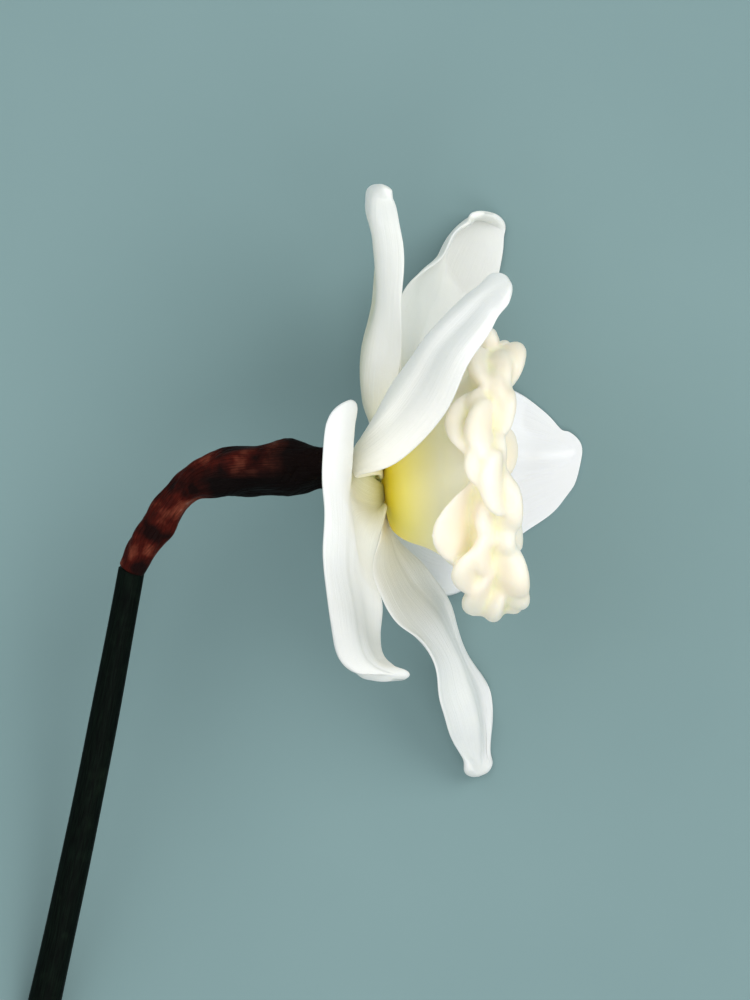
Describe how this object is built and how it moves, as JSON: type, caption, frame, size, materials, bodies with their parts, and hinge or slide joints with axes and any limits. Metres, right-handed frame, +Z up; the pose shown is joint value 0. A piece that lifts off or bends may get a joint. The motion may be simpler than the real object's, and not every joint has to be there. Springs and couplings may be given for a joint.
{
  "type": "narcissus flower",
  "caption": "Narcissus flower picked with a short stem and lying on its side: reflexed tepals round a frilled cup, with sheath, tube, stamens and style.",
  "frame": {"origin": "on the surface that the flower lies on, below the middle of its outline", "axes": "+Z up from the surface; +X the way the flower's cup faces; +Y towards the tips of the upper tepals, with the cut stem running off towards -Y"},
  "size_m": [0.0943, 0.1405, 0.0678],
  "materials": {
    "tepal": "soft matt petal, white with a cool sheen",
    "corona": "soft matt petal, cream rim over a deep yellow base",
    "spathe": "dry papery membrane, dark red-brown",
    "green_tissue": "smooth plant tissue, yellow-green",
    "stem": "smooth, very dark green",
    "pollen": "powdery, deep yellow"
  },
  "bodies": {
    "root": {"tepal_outer_1": "tepal", "tepal_outer_2": "tepal", "tepal_outer_3": "tepal", "tepal_inner_1": "tepal", "tepal_inner_2": "tepal", "tepal_inner_3": "tepal", "corona": "corona", "spathe": "spathe", "flower_tube": "green_tissue", "stem": "stem", "stamens": "pollen", "style": "green_tissue"}
  },
  "joints": []
}
